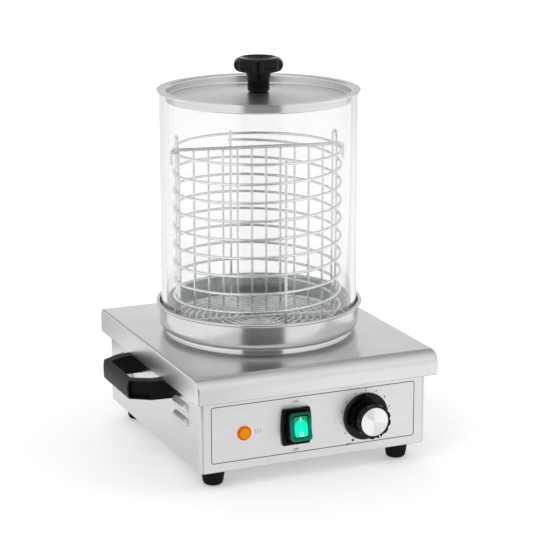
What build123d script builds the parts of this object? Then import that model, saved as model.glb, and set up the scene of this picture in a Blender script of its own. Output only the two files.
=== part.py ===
"""Hot dog steamer: a counter-top warmer with a heated base, a glass cylinder and a wire basket.

Millimetres. +X is the right-hand side, -Y the front with the controls, +Z up.
The origin is the middle of the footprint at the level of the surface that the feet stand on.
"""

import os
from math import atan2, cos, degrees, radians, sin, sqrt

from build123d import *

# ---- Driving dimensions -------------------------------------------------------------------------

# Base: heights are stacked from the feet up, depths run from the axis of the glass.
foot_height = 18.5
foot_top_radius = 12.5
foot_bottom_radius = 9.6
foot_round = 3.6
foot_inset = 21.5
body_width = 242.0
body_height = 97.5
body_front = 140.5
body_back = 119.5
sheet = 1.0
panel_thickness = 1.2
bend = 3.2
cover_side_overhang = 7.5
cover_front_overhang = 12.5
cover_back_overhang = 9.5
cover_nose = 13.0
cover_back_bend = 3.0
cover_side_bend = 2.6
skirt_height = 23.9
top_flange = 10.0
bottom_flange = 36.0
front_border = 12.0
window_margin = 7.0
panel_corner = 1.0
heater_opening_margin = 5.8

# Louvres pressed out of both side walls, in front of the handles and behind them.
louvre_length = 38.0
louvre_height = 10.4
louvre_depth = 3.8
louvre_drops = (32.6, 17.9)
louvre_room_to_handle = 7.5

# Bottom plate with its vent slots.
vent_slot_length = 42.0
vent_slot_width = 5.0
vent_slot_pitch = 15.0
vent_slots_per_row = 8
vent_rows = 2

# Side handles.
handle_reach = 40.0
handle_height = 19.3
handle_grip_half = 36.8
handle_knee_half = 50.5
handle_wall_half = 52.5
handle_knee_reach = 19.5
handle_grip_thickness = 6.0
handle_arm_thickness = 11.0
handle_crown = 1.3
handle_pocket_depth = 6.0
handle_pocket_rim = 1.5
handle_grip_round = 2.0
handle_finger_round = 3.0
handle_gap_below_skirt = 0.3
handle_screw_length = 15.0

# Controls, on one level just below the middle of the panel that shows.
control_drop = 0.5
lamp_x = -75.4
switch_x = -21.0
dial_x = 54.5
lamp_radius = 7.25
lamp_dome_radius = 5.4
lamp_rim = 1.4
lamp_dome_height = 1.6
lamp_body_radius = 4.9
lamp_body_length = 24.0
lamp_nut_thickness = 2.0
blade_length = 9.0
blade_width = 6.3
blade_thickness = 0.8
switch_side_flange = 1.35
switch_end_flange = 1.8
switch_bulge = 1.8
switch_rim = 3.0
switch_wall = 1.5
switch_body_depth = 24.0
switch_well_depth = 8.5
rocker_width = 22.0
rocker_length = 27.6
rocker_reach = 13.2
rocker_hollow = 1.0
rocker_tilt = 12.0
rocker_clearance = 0.4
rocker_swing_room = 1.5
rocker_corner = 3.2
rocker_tail = 3.0
rocker_frame_width = 2.6
rocker_frame_depth = 2.2
rocker_groove = 1.4
pivot_radius = 1.6
pivot_depth = 1.0
pivot_pin_engagement = 1.0
dial_skirt_radius = 24.0
dial_skirt_thickness = 3.0
dial_grip_radius = 17.6
dial_grip_waist = 1.0
dial_reach = 21.0
dial_cap_radius = 14.6
dial_cap_thickness = 1.2
dial_flutes = 12
dial_flute_radius = 3.2
dial_flute_depth = 1.2
dial_hollow_radius = 19.5
dial_hollow_depth = 2.2
dial_roof = 3.0
dial_pointer_angle = 160.0
dial_pointer_width = 1.5
dial_pointer_depth = 0.8
dial_pointer_margin = 0.5
shaft_radius = 3.0
shaft_depth = 14.0
thermostat_width = 38.0
thermostat_height = 34.0
thermostat_depth = 26.0
thermostat_screw_pitch = 28.0
thermostat_screw_radius = 2.0
thermostat_screw_head = 3.4
thermostat_screw_length = 10.0

# Water tray, glass cylinder and lid, all round the axis of the glass.
tray_margin = 2.3
tray_height = 28.0
tray_corner = 7.0
tray_sheet = 0.8
tray_bead_radius = 1.9
seat_height = 3.5
seat_inset = 6.5
seat_width = 6.0
seat_round = 2.2
glass_radius = 100.0
glass_wall = 5.0
glass_height = 240.0
glass_edge = 0.8
lid_overhang = 2.4
lid_sheet = 0.8
lid_depth = 9.5
lid_well_clearance = 2.0
lid_crown = 6.2
lid_hub_radius = 14.0
lid_bend = 2.0
lid_knob_radius = 25.1
lid_knob_height = 35.0
lid_knob_disc = 15.0
lid_knob_rim = 7.5
lid_knob_stem_top = 13.0
lid_knob_stem_base = 11.2
lid_knob_foot_bevel = 2.0
lid_knob_dish = 4.2
lid_knob_notches = 6
lid_knob_notch_radius = 8.0
lid_knob_notch_depth = 3.0
lid_knob_notch_turn = 7.0
lid_washer_radius = 8.0
lid_washer = 1.0
lid_screw_length = 14.0

# Heater under the tray.
heater_margin = 24.0
heater_tube_radius = 4.0
heater_gap_angle = 24.0
heater_leg = 22.0
heater_corners = 28
clamp_overhang = 14.0
clamp_thickness = 1.5
clamp_stud_inset = 18.0
clamp_studs = 4
cutout_radius = 8.0
cutout_height = 7.0

# Basket: one round wire coiled into the wall, then into the floor, on two bent supports.
basket_offset_x = -1.9
basket_turn = -11.0
basket_wire = 2.8
basket_clearance = 10.0
ring_below_glass = 59.36
coil_below_ring = 7.9
coil_turns = 8.33
coil_lean = 1.6
coil_start_angle = 88.0
coil_end_height = 26.2
corners_per_turn = 24
floor_corners_per_turn = 18
coil_drop_turn = 60.0
floor_clearance = 0.95
floor_inner_radius = 9.0
floor_pitch = 6.8
hairpin_width = 14.0
hairpin_rise = 16.6
cross_rise = 4.0
support_bend = 4.0
cross_support_turn = -3.0
weld_gap = 0.25

# Divider that hangs on the basket's top ring.
divider_rod = 3.5
divider_wire = 2.4
divider_wires = 12
divider_end_clearance = 0.6
divider_hook_drop = 15.0

# Cable gland in the back wall.
gland_x = 84.0
gland_level = 30.0
gland_bore = 4.2
gland_radius = 9.0
gland_reach = 12.0
gland_flange = 4.0
gland_wall_hole = 6.5
gland_shank = 9.0
gland_nut_thickness = 5.0
terminal_width = 42.0
terminal_depth = 18.0
terminal_height = 15.0
terminal_pitch = 10.0
terminal_hole_radius = 2.2

# Clearances and small fasteners.
seat_gap = 0.3
fit_gap = 0.08
screw_radius = 2.5
screw_head_radius = 4.4
screw_head_height = 2.6
nut_radius = 4.6
nut_height = 3.6

# ---- Places worked out from the dimensions ------------------------------------------------------

cover_width = body_width + 2 * cover_side_overhang
cover_front = body_front + cover_front_overhang
cover_back = body_back + cover_back_overhang
front_reach = body_front + dial_reach
back_reach = max(cover_back, body_back + gland_reach)
axis_y = (front_reach - back_reach) / 2
panel_y = axis_y - body_front
back_y = axis_y + body_back
body_mid_y = (panel_y + back_y) / 2
body_bottom = foot_height
plate_top = body_bottom + body_height
cover_under = plate_top - sheet
skirt_bottom = plate_top - skirt_height
control_z = (body_bottom + skirt_bottom) / 2 - control_drop
tray_radius = glass_radius + tray_margin
seat_radius = tray_radius - seat_inset
heater_opening_radius = seat_radius - seat_width - heater_opening_margin
heater_radius = heater_opening_radius - heater_margin
clamp_radius = heater_radius + clamp_overhang
clamp_stud_circle = heater_radius - clamp_stud_inset
tray_bottom = plate_top + seat_height
tray_floor = tray_bottom + tray_sheet
tray_top = tray_bottom + tray_height
inner_corner = tray_corner - tray_sheet
glass_overlap = glass_radius - (tray_radius - tray_corner)
glass_lift = inner_corner - sqrt(inner_corner**2 - max(glass_overlap, 0.0) ** 2)
glass_bottom = tray_floor + glass_lift + seat_gap
glass_top = glass_bottom + glass_height
lid_radius = glass_radius + lid_overhang
lid_well_radius = glass_radius - glass_wall - lid_well_clearance
lid_under = glass_top + seat_gap
lid_top = lid_under + lid_sheet
lid_floor = lid_top - lid_depth
lid_hub = lid_floor + lid_crown
knob_top = lid_hub + lid_knob_height
axis = Location((0, axis_y, 0))
basket_place = Location((basket_offset_x, axis_y, 0)) * Rotation(0, 0, basket_turn)
wire_radius = basket_wire / 2
coil_radius = glass_radius - glass_wall - basket_clearance
support_radius = coil_radius - basket_wire - weld_gap
side_spoke_z = tray_floor + seat_gap + wire_radius
cross_spoke_z = side_spoke_z + basket_wire + weld_gap / 2
floor_z = cross_spoke_z + basket_wire + weld_gap / 2
floor_outer_radius = support_radius - basket_wire - floor_clearance
ring_z = glass_top - ring_below_glass
coil_start_z = ring_z - coil_below_ring
coil_pitch = (coil_start_z - plate_top - coil_end_height) / coil_turns
rod_radius = divider_rod / 2
hook_bend = wire_radius + seat_gap + rod_radius
divider_y = -(hairpin_width / 2 + wire_radius + seat_gap + rod_radius)
divider_z = ring_z + hook_bend
hook_x = sqrt(coil_radius**2 - divider_y**2) + hook_bend
divider_foot_z = floor_z + wire_radius + seat_gap + divider_wire / 2
divider_room = sqrt((coil_radius - wire_radius - seat_gap) ** 2 - divider_y**2)
divider_half = divider_room - divider_wire / 2 - divider_end_clearance
handle_bottom = skirt_bottom - handle_gap_below_skirt - handle_height
louvre_offset = handle_wall_half + louvre_room_to_handle + louvre_length / 2
switch_cutout_width = rocker_width + 2 * rocker_clearance + 2 * switch_wall
switch_cutout_height = rocker_length + 2 * rocker_swing_room + 2 * switch_wall
switch_width = switch_cutout_width + 2 * switch_side_flange
switch_height = switch_cutout_height + 2 * switch_end_flange
control_room = max(switch_cutout_height, thermostat_height) / 2 + window_margin


def save(name, *solids):
    """Write one sub-part, which may be several equal solids, to its own file."""
    shape = solids[0] if len(solids) == 1 else Compound(children=list(solids))
    export_step(shape, f"parts/{name}.step")


# ---- Shared shapes ------------------------------------------------------------------------------


def tube(outer, inner, bottom, top):
    """Upright ring round the origin."""
    ring = Circle(outer) - Circle(inner)
    return extrude(Pos(0, 0, bottom) * ring, top - bottom)


def pin(radius, bottom, top):
    return extrude(Pos(0, 0, bottom) * Circle(radius), top - bottom)


def coiled_wire(points, radius):
    """Round wire through close points, mitred at each one."""
    path = Polyline(*points)
    start = Vector(*points[0])
    section = Plane(origin=start, z_dir=Vector(*points[1]) - start) * Circle(radius)
    return sweep(section, path=path, transition=Transition.RIGHT)


def bent_rod(points, radius, bends, close=False):
    """Round rod; the bends are one radius, or one radius for each corner."""
    path = FilletPolyline(*[Vector(*point) for point in points], radius=bends, close=close)
    section = Plane(origin=path @ 0, z_dir=path % 0) * Circle(radius)
    return sweep(section, path=path)


def spun_sheet(points, radius, thickness):
    """Round dish: a sheet section along the points, its corners bent, spun round the origin."""
    path = FilletPolyline(*points, radius=radius)
    section = Plane.XZ * trace(path, line_width=thickness)
    return revolve(section, Axis.Z)


def pan_screw(length, radius=screw_radius, head_radius=screw_head_radius,
              head_height=screw_head_height):
    """Pan-head screw along +Z with its head and cross recess below the origin."""
    head = pin(head_radius, -head_height, 0)
    head = chamfer(head.edges().sort_by(Axis.Z)[0], 0.4 * head_height)
    recess = Box(0.9, head_radius, head_height) + Box(head_radius, 0.9, head_height)
    return head + pin(radius, 0, length) - Pos(0, 0, -head_height) * recess


def hex_nut():
    blank = extrude(RegularPolygon(nut_radius, 6), nut_height)
    return blank - pin(screw_radius + fit_gap, -1, nut_height + 1)


def on_front(x, z, depth=0.0):
    """Plane on the front panel that looks outward; depth is measured behind the panel's face."""
    return Plane(origin=(x, panel_y + depth, z), x_dir=(1, 0, 0), z_dir=(0, -1, 0))


def ring_points(radius, count, start=0.0, height=0.0):
    """Places on a circle round the origin."""
    angles = [radians(start + 360 * index / count) for index in range(count)]
    return [(radius * cos(angle), radius * sin(angle), height) for angle in angles]


# ---- Base: sheet metal --------------------------------------------------------------------------


def cover_block(inset):
    """Solid inside of the cover, smaller by the inset: a bullnose front, square sides, open below."""
    depth = cover_front + cover_back - 2 * inset
    height = skirt_height - inset
    profile = Plane.YZ * Rectangle(depth, height, align=(Align.CENTER, Align.MIN))
    top = profile.vertices().group_by(Axis.Z)[-1].sort_by(Axis.Y)
    profile = fillet(top[0], cover_nose - inset)
    top = profile.vertices().group_by(Axis.Z)[-1].sort_by(Axis.Y)
    profile = fillet(top[-1], cover_back_bend - inset)
    block = extrude(profile, (cover_width - 2 * inset) / 2, both=True)
    rims = []
    for face in (block.faces().sort_by(Axis.X)[0], block.faces().sort_by(Axis.X)[-1]):
        rims += [edge for edge in face.edges() if edge.center().Z > height / 3]
    block = fillet(rims, cover_side_bend - inset)
    middle = axis_y + (cover_back - cover_front) / 2
    return Pos(0, middle, skirt_bottom) * block


def make_cover():
    shell = cover_block(0) - cover_block(sheet)
    middle = axis_y + (cover_back - cover_front) / 2
    flange = Pos(0, middle, skirt_bottom) * Box(
        cover_width - 2 * sheet, cover_front + cover_back - 2 * sheet, sheet,
        align=(Align.CENTER, Align.CENTER, Align.MIN),
    )
    gap = 2 * seat_gap
    body = Pos(0, body_mid_y, skirt_bottom) * Box(
        body_width + gap, body_front + body_back + gap, 3 * sheet,
    )
    opening = axis * pin(heater_opening_radius, cover_under - 1, plate_top + 1)
    save("top_cover", shell + (flange - body) - opening)


def capsule(radius, length):
    """Rod along Y with round ends."""
    rod = Rot(90, 0, 0) * Cylinder(radius, length - 2 * radius)
    ends = [Pos(0, side * (length / 2 - radius), 0) * Sphere(radius) for side in (-1, 1)]
    return rod + ends[0] + ends[1]


def pressed_louvre(wall, side, y, z):
    """Press one hood out of a side wall: round ends, closed above and open along its lower edge."""
    radius = louvre_height / 2 + louvre_depth / 4
    face_x = body_width / 2
    lip = louvre_height / 4
    centre = Pos(side * (face_x + louvre_depth - radius), y, z)
    outside = Pos(side * (face_x + louvre_height - sheet / 2), y, z + louvre_height) * Box(
        2 * louvre_height, 2 * louvre_length, 2 * louvre_height + 2 * lip,
    )
    above = Pos(0, y, z + 2 * louvre_height - lip) * Box(
        2 * body_width, 2 * louvre_length, 4 * louvre_height,
    )
    inner = (centre * capsule(radius - sheet, louvre_length - 2 * sheet)) & above
    hood = (centre * capsule(radius, louvre_length)) & outside & above
    return wall - inner + (hood - inner)


def make_housing():
    """Folded box: windows in the top, the bottom and the front, louvres in the sides."""
    depth = body_front + body_back - panel_thickness
    middle = back_y - depth / 2
    outer = extrude(RectangleRounded(body_width, depth, bend), body_height - sheet)
    inner = extrude(
        RectangleRounded(body_width - 2 * sheet, depth - 2 * sheet, bend - sheet),
        body_height - 3 * sheet,
    )
    top_window = Pos(0, 0, body_height) * Box(
        body_width - 2 * top_flange, depth - 2 * top_flange, 4 * sheet,
    )
    bottom_window = Box(body_width - 2 * bottom_flange, depth - 2 * bottom_flange, 4 * sheet)
    window_bottom = control_z - control_room - body_bottom
    window_top = body_height - front_border
    front_window = Pos(0, -depth / 2, (window_bottom + window_top) / 2) * Box(
        body_width - 2 * front_border, 4 * sheet, window_top - window_bottom,
    )
    shell = outer - Pos(0, 0, sheet) * inner - top_window - bottom_window - front_window
    shell = Pos(0, middle, body_bottom) * shell
    for side, end in [(-1, -1), (-1, 1), (1, -1), (1, 1)]:
        for drop in louvre_drops:
            y = body_mid_y + end * louvre_offset
            shell = pressed_louvre(shell, side, y, skirt_bottom - drop)
    for place in foot_places():
        shell -= place * pin(screw_radius + fit_gap, body_bottom - sheet, body_bottom + 2 * sheet)
    for place in handle_screw_places():
        shell -= place * pin(screw_radius + fit_gap, -3 * sheet, 3 * sheet)
    gland = Plane.XZ * Circle(gland_wall_hole)
    place = Pos(gland_x, back_y + sheet, body_bottom + gland_level)
    shell -= place * extrude(gland, 4 * sheet)
    save("housing", shell)


def make_front_panel():
    """Flat plate on the housing's front, between its rounded corners, with three cut-outs."""
    width = body_width - 2 * bend
    height = body_height - sheet - seat_gap
    plate = on_front(0, body_bottom + height / 2) * Pos(0, 0, -panel_thickness / 2) * Box(
        width, height, panel_thickness,
    )
    plate = fillet(plate.edges().filter_by(Axis.Y), panel_corner)
    through = 4 * panel_thickness
    plate -= on_front(lamp_x, control_z) * Cylinder(lamp_body_radius + fit_gap, through)
    plate -= on_front(switch_x, control_z) * Box(
        switch_cutout_width + 2 * fit_gap, switch_cutout_height + 2 * fit_gap, through,
    )
    plate -= on_front(dial_x, control_z) * Cylinder(shaft_radius + 1.0, through)
    for side in (-1, 1):
        hole = on_front(dial_x + side * thermostat_screw_pitch / 2, control_z)
        plate -= hole * Cylinder(thermostat_screw_radius + fit_gap, through)
    save("front_panel", plate)


def make_bottom_plate():
    """Plate that closes the housing from inside and lies on its bottom flange."""
    width = body_width - 2 * sheet - 2 * seat_gap
    depth = body_front + body_back - panel_thickness - 2 * sheet - 2 * seat_gap
    middle = back_y - (body_front + body_back - panel_thickness) / 2
    plate = extrude(RectangleRounded(width, depth, bend - sheet), sheet)
    slot = extrude(SlotOverall(vent_slot_length, vent_slot_width, rotation=90), 3 * sheet)
    row_pitch = vent_slot_length + 2 * vent_slot_width
    plate -= GridLocations(vent_slot_pitch, row_pitch, vent_slots_per_row, vent_rows) * (
        Pos(0, 0, -sheet) * slot
    )
    plate = Pos(0, middle, body_bottom + sheet) * plate
    for place in foot_places():
        plate -= place * pin(screw_radius + fit_gap, body_bottom, body_bottom + 3 * sheet)
    save("bottom_plate", plate)


# ---- Base: feet and handles ---------------------------------------------------------------------


def foot_places():
    x = body_width / 2 - foot_inset
    front = panel_y + foot_inset
    back = back_y - foot_inset
    return [Pos(side * x, y, 0) for side in (-1, 1) for y in (front, back)]


def make_feet():
    recess_depth = foot_height / 2
    blank = loft([
        Circle(foot_bottom_radius),
        Pos(0, 0, foot_height) * Circle(foot_top_radius),
    ])
    blank = fillet(blank.edges().sort_by(Axis.Z)[0], foot_round)
    blank -= pin(screw_radius + fit_gap, -1, foot_height + 1)
    blank -= pin(screw_head_radius + 0.6, -1, recess_depth)
    screw = Pos(0, 0, recess_depth) * pan_screw(foot_height - recess_depth + 2 * sheet + nut_height)
    nut = Pos(0, 0, body_bottom + 2 * sheet) * hex_nut()
    save("rubber_feet", *[place * blank for place in foot_places()])
    save("foot_screws", *[place * screw for place in foot_places()])
    save("foot_nuts", *[place * nut for place in foot_places()])


def handle_outline():
    """Plan of the right handle: X runs outward from the wall, Y along it."""
    outer = [
        (0, handle_wall_half),
        (handle_knee_reach, handle_knee_half),
        (handle_reach, handle_grip_half),
    ]
    inner_reach = handle_reach - handle_grip_thickness
    slope = (handle_knee_half - handle_grip_half) / (handle_reach - handle_knee_reach)
    inner_knee = handle_knee_half - handle_arm_thickness
    inner_end = inner_knee - slope * (inner_reach - handle_knee_reach)
    inner = [(0, inner_knee), (handle_knee_reach - 3, inner_knee), (inner_reach, inner_end)]
    whole = outer + [(x, -y) for x, y in reversed(outer)]
    gap = [(-1, inner_knee)] + inner[1:] + [(x, -y) for x, y in reversed(inner[1:])]
    gap.append((-1, -inner_knee))
    frame = make_face(Polyline(*whole, close=True))
    frame = fillet(frame.vertices().group_by(Axis.X)[-1], handle_grip_round)
    window = make_face(Polyline(*gap, close=True))
    window = fillet(window.vertices().group_by(Axis.X)[-1], handle_finger_round)
    return frame - window


def handle_screw_places():
    """Screw axes in the side walls, pointing outward from inside the housing."""
    places = []
    for side in (-1, 1):
        for end in (-1, 1):
            y = body_mid_y + end * (handle_wall_half - handle_arm_thickness / 2)
            z = handle_bottom + handle_height / 2
            places.append(Plane(
                origin=(side * (body_width / 2 - sheet), y, z), x_dir=(0, 1, 0), z_dir=(side, 0, 0),
            ).location)
    return places


def make_handles():
    bar = extrude(handle_outline(), handle_height)
    side_profile = Plane.XZ * make_face(Wire([
        Line((-1, -1), (handle_reach - handle_crown, 0)).edge(),
        ThreePointArc(
            (handle_reach - handle_crown, 0), (handle_reach, handle_height / 2),
            (handle_reach - handle_crown, handle_height),
        ).edge(),
        Line((handle_reach - handle_crown, handle_height), (-1, handle_height + 1)).edge(),
        Line((-1, handle_height + 1), (-1, -1)).edge(),
    ]))
    bar = bar & extrude(side_profile, 2 * handle_wall_half, both=True)
    run = (handle_reach - handle_knee_reach, handle_grip_half - handle_knee_half)
    length = sqrt(run[0] ** 2 + run[1] ** 2)
    turn = degrees(atan2(run[1], run[0]))
    middle = (
        (handle_reach + handle_knee_reach) / 2,
        (handle_grip_half + handle_knee_half) / 2,
        handle_height / 2,
    )
    pocket = Box(
        length - 2 * handle_pocket_rim, 2 * handle_pocket_depth,
        handle_height - 2 * handle_pocket_rim,
    )
    for end in (-1, 1):
        bar -= Pos(middle[0], end * middle[1], middle[2]) * Rot(0, 0, end * turn) * pocket
    right = Pos(body_width / 2, body_mid_y, handle_bottom) * bar
    for place in handle_screw_places()[2:]:
        right -= place * pin(screw_radius + fit_gap, 0, handle_screw_length + 1)
    save("right_handle", right)
    save("left_handle", mirror(right, about=Plane.YZ))
    screw = pan_screw(handle_screw_length)
    save("handle_screws", *[place * screw for place in handle_screw_places()])


# ---- Base: controls on the front panel ----------------------------------------------------------


def make_lamp():
    place = on_front(lamp_x, control_z)
    lens = fillet(pin(lamp_radius, 0, lamp_rim).edges().sort_by(Axis.Z)[-1], 0.8)
    dome = pin(lamp_dome_radius, 0, lamp_rim + lamp_dome_height)
    lens += chamfer(dome.edges().sort_by(Axis.Z)[-1], 0.7)
    body = pin(lamp_body_radius, -lamp_body_length, 0)
    for side in (-1, 1):
        body += Pos(side * lamp_body_radius / 2, 0, -lamp_body_length) * Box(
            blade_thickness, lamp_body_radius, blade_length,
        )
    nut_bottom = -panel_thickness - lamp_nut_thickness
    ring = tube(lamp_radius, lamp_body_radius + fit_gap, nut_bottom, -panel_thickness)
    save("lamp_lens", place * lens)
    save("lamp_body", place * body)
    save("lamp_lock_ring", place * ring)


def make_switch():
    """Frame with swelling sides, a well for the rocker and a closed body with blades behind."""
    place = on_front(switch_x, control_z)
    half_width, half_height = switch_width / 2, switch_height / 2
    outline = Wire([
        Line((-half_width, half_height), (half_width, half_height)).edge(),
        ThreePointArc(
            (half_width, half_height), (half_width + switch_bulge, 0), (half_width, -half_height)
        ).edge(),
        Line((half_width, -half_height), (-half_width, -half_height)).edge(),
        ThreePointArc(
            (-half_width, -half_height), (-half_width - switch_bulge, 0), (-half_width, half_height)
        ).edge(),
    ])
    rim_face = make_face(outline)
    rim_face = fillet(rim_face.vertices(), 1.5)
    rim = chamfer(extrude(rim_face, switch_rim).faces().sort_by(Axis.Z)[-1].edges(), 0.8)
    width, height = switch_cutout_width, switch_cutout_height
    body = Pos(0, 0, -switch_body_depth / 2) * Box(width, height, switch_body_depth)
    well = Box(width - 2 * switch_wall, height - 2 * switch_wall, 2 * switch_well_depth)
    shell = rim + body - well
    pivot = Pos(0, 0, -pivot_depth) * Rot(0, 90, 0) * Cylinder(
        pivot_radius + fit_gap, width - 2 * switch_wall + 2 * pivot_pin_engagement + 2 * fit_gap,
    )
    shell -= pivot
    blade = Box(blade_thickness, blade_width, blade_length)
    blades = [
        place * Pos(x, y, -switch_body_depth - blade_length / 2) * blade
        for x in (-width / 4, width / 4) for y in (-height / 3, 0, height / 3)
    ]
    save("switch_frame", place * shell)
    save("switch_blades", *blades)


def rocker_blank(drop):
    """Rocker about its pivot: Z outward, Y up; its hollow front lies lower by the drop."""
    front = rocker_reach + pivot_depth - drop
    half = rocker_length / 2
    profile = Wire([
        ThreePointArc((-half, front + rocker_hollow), (0, front), (half, front + rocker_hollow)).edge(),
        Line((half, front + rocker_hollow), (half, -rocker_tail)).edge(),
        Line((half, -rocker_tail), (-half, -rocker_tail)).edge(),
        Line((-half, -rocker_tail), (-half, front + rocker_hollow)).edge(),
    ])
    blank = extrude(Plane.YZ * make_face(profile), rocker_width / 2, both=True)
    return fillet(blank.edges().filter_by(Axis.Z), rocker_corner)


def make_rocker():
    """Rocker pressed in at the top: dark body, clear coloured frame and a lens inside a groove."""
    place = on_front(switch_x, control_z, pivot_depth) * Rot(-rocker_tilt, 0, 0)
    core = rocker_blank(rocker_frame_depth + fit_gap)
    layer = rocker_blank(0) - rocker_blank(rocker_frame_depth)
    window = (rocker_width - 2 * rocker_frame_width, rocker_length - 2 * rocker_frame_width)
    deep = 4 * rocker_reach
    frame = layer - extrude(RectangleRounded(*window, rocker_corner / 2), deep, both=True)
    lens_size = [side - 2 * rocker_groove for side in window]
    lens = layer & extrude(RectangleRounded(*lens_size, rocker_corner / 2), deep, both=True)
    pins = Rot(0, 90, 0) * Cylinder(
        pivot_radius, rocker_width + 2 * rocker_clearance + 2 * pivot_pin_engagement,
    )
    save("rocker_body", place * (core + pins))
    save("rocker_frame", place * frame)
    save("rocker_lens", place * lens)


def make_dial():
    """Fluted knob with a wide skirt, a metal cap and a pointer, on the control's spindle."""
    place = on_front(dial_x, control_z) * Rot(0, 0, -dial_pointer_angle)
    skirt_top = seat_gap + dial_skirt_thickness
    skirt = chamfer(pin(dial_skirt_radius, seat_gap, skirt_top).edges().sort_by(Axis.Z)[-1], 1.4)
    grip = loft([
        Pos(0, 0, skirt_top - 0.5) * Circle(dial_grip_radius - dial_grip_waist),
        Pos(0, 0, dial_reach) * Circle(dial_grip_radius),
    ])
    flute_distance = dial_grip_radius + dial_flute_radius - dial_flute_depth
    flute = pin(dial_flute_radius, skirt_top, dial_reach + 1)
    half_step = 180 / dial_flutes
    for x, y, z in ring_points(flute_distance, dial_flutes, 90 + half_step):
        grip -= Pos(x, y, z) * flute
    knob = skirt + grip
    knob -= pin(dial_hollow_radius, seat_gap - 1, seat_gap + dial_hollow_depth)
    knob -= pin(dial_cap_radius + fit_gap, dial_reach - dial_cap_thickness, dial_reach + 1)
    spindle_end = dial_reach - dial_cap_thickness - dial_roof
    knob -= pin(shaft_radius + fit_gap, 0, spindle_end)
    pointer_start = dial_cap_radius + dial_pointer_margin
    pointer_end = dial_grip_radius - dial_pointer_margin
    pointer = Box(
        dial_pointer_width, pointer_end - pointer_start, dial_pointer_depth,
        align=(Align.CENTER, Align.MIN, Align.MAX),
    )
    pointer = Pos(0, pointer_start, dial_reach) * pointer
    cap = pin(dial_cap_radius, dial_reach - dial_cap_thickness, dial_reach)
    cap = chamfer(cap.edges().sort_by(Axis.Z)[-1], 0.3)
    save("dial_knob", place * (knob - pointer))
    save("dial_pointer", place * pointer)
    save("dial_cap", place * cap)
    save("dial_spindle", place * pin(shaft_radius, -shaft_depth, spindle_end - 0.5))


def make_heat_control():
    """Heat regulator behind the panel, held by two screws that the knob hides."""
    place = on_front(dial_x, control_z)
    body = Pos(0, 0, -panel_thickness) * Box(
        thermostat_width, thermostat_height, thermostat_depth,
        align=(Align.CENTER, Align.CENTER, Align.MAX),
    )
    body = fillet(body.edges().filter_by(Axis.Z), 2.0)
    body -= pin(shaft_radius + fit_gap, -shaft_depth - 0.5, 0)
    screw = Rot(180, 0, 0) * pan_screw(
        thermostat_screw_length, thermostat_screw_radius, thermostat_screw_head,
        thermostat_screw_radius,
    )
    holes = [Pos(side * thermostat_screw_pitch / 2, 0, 0) for side in (-1, 1)]
    for hole in holes:
        body -= hole * pin(thermostat_screw_radius + fit_gap, -thermostat_screw_length - 1, 0)
    blade = Box(blade_width, blade_thickness, blade_length)
    blade_middle = -panel_thickness - thermostat_depth - blade_length / 2
    third, quarter = thermostat_width / 3, thermostat_height / 4
    blades = [
        place * Pos(x, y, blade_middle) * blade
        for x in (-third, 0, third) for y in (-quarter, quarter)
    ]
    save("heat_control", place * body)
    save("heat_control_screws", *[place * hole * screw for hole in holes])
    save("heat_control_blades", *blades)


def make_gland():
    """Cable gland low in the back wall; its bore runs right through."""
    place = Plane(
        origin=(gland_x, back_y, body_bottom + gland_level), x_dir=(-1, 0, 0), z_dir=(0, 1, 0),
    ).location
    shank_end = -sheet - gland_shank
    body = pin(gland_radius + 1.5, 0, gland_flange)
    body = chamfer(body.edges().sort_by(Axis.Z)[-1], 0.8)
    dome = loft([Circle(gland_radius), Pos(0, 0, gland_reach) * Circle(gland_radius - 1.6)])
    body += fillet(dome.edges().sort_by(Axis.Z)[-1], 1.2)
    body += pin(gland_wall_hole - fit_gap, shank_end, 0)
    body -= pin(gland_bore, shank_end - 1, gland_reach + 1)
    nut = extrude(RegularPolygon(gland_radius + 1.5, 6), -gland_nut_thickness)
    nut -= pin(gland_wall_hole, -gland_nut_thickness - 1, 1)
    save("cable_gland", place * body)
    save("gland_nut", place * Pos(0, 0, -sheet) * nut)


def make_terminal_block():
    plate_z = body_bottom + 2 * sheet
    block = Box(
        terminal_width, terminal_depth, terminal_height,
        align=(Align.CENTER, Align.CENTER, Align.MIN),
    )
    block = fillet(block.edges().filter_by(Axis.Z), terminal_hole_radius / 2)
    hole = pin(terminal_hole_radius, terminal_height / 3, terminal_height + 1)
    holes = GridLocations(terminal_pitch, 0.8 * terminal_pitch, 4, 2) * hole
    place = Pos(gland_x - terminal_width, back_y - 3 * terminal_depth, plate_z)
    save("terminal_block", place * (block - holes))


# ---- Tray, heater, glass and lid ----------------------------------------------------------------


def make_tray():
    """Water tray: one drawn sheet with a round corner and a wired rim, on a narrow seat ring."""
    half = tray_sheet / 2
    wall = tray_radius - half
    tray = spun_sheet([(0, half), (wall, half), (wall, tray_height - tray_bead_radius)],
                      tray_corner - half, tray_sheet)
    bead_radius = tray_radius + tray_bead_radius - tray_sheet
    bead = revolve(Plane.XZ * (Pos(bead_radius, tray_height - tray_bead_radius)
                               * Circle(tray_bead_radius)), Axis.Z)
    save("water_tray", axis * Pos(0, 0, tray_bottom) * (tray + bead))
    ring = tube(seat_radius, seat_radius - seat_width, plate_top, tray_bottom)
    outer_edge = ring.edges().group_by(Axis.Z)[-1].sort_by(SortBy.LENGTH)[-1]
    save("tray_seat_ring", axis * fillet(outer_edge, seat_round))


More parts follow.
